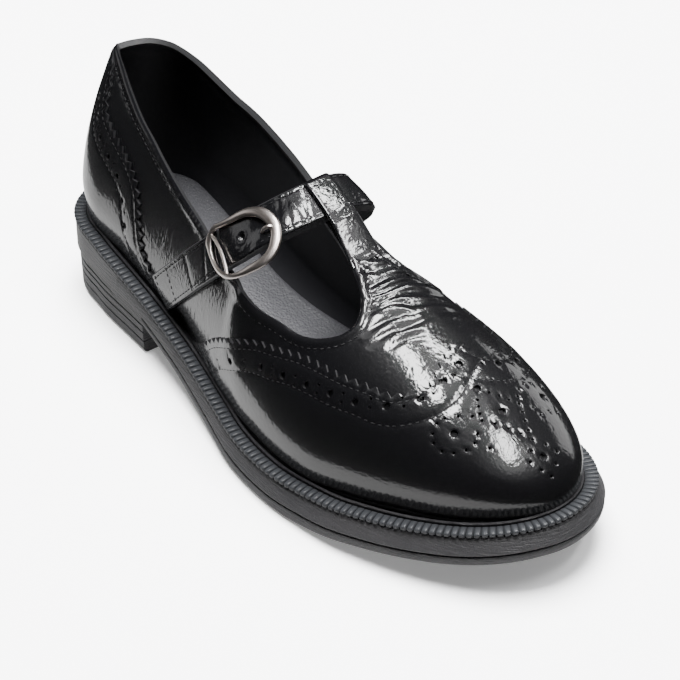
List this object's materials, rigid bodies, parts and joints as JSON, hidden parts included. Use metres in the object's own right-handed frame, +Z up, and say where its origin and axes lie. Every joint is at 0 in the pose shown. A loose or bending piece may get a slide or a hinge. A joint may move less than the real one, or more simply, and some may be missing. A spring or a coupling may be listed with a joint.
{
  "type": "t-bar brogue shoe",
  "caption": "Right T-bar shoe in black patent leather with wing-tip toe cap, buckled cross strap, ribbed false welt and low block heel on a moulded rubber sole.",
  "frame": {"origin": "on the floor, under the middle of the shoe's box", "axes": "+Y to the toe, +X to the wearer's right, which is the outer side, +Z up"},
  "size_m": [0.101, 0.2708, 0.1019],
  "materials": {
    "rubber": "matte, fine brushed lines",
    "patent": "glossy creased patent",
    "sock": "matte pebble grain",
    "metal": "brushed, warm silver"
  },
  "bodies": {
    "root": {"top_lift": "rubber", "heel_block": "rubber", "tread": "rubber", "midsole": "rubber", "welt_ribs": "rubber", "insole": "sock", "upper": "patent", "toe_cap": "patent", "heel_counter": "patent", "strap_anchor": "patent", "cross_strap": "patent", "t_bar_loop": "patent", "buckle_frame": "metal", "buckle_bar": "metal", "buckle_prong": "metal"}
  },
  "joints": []
}
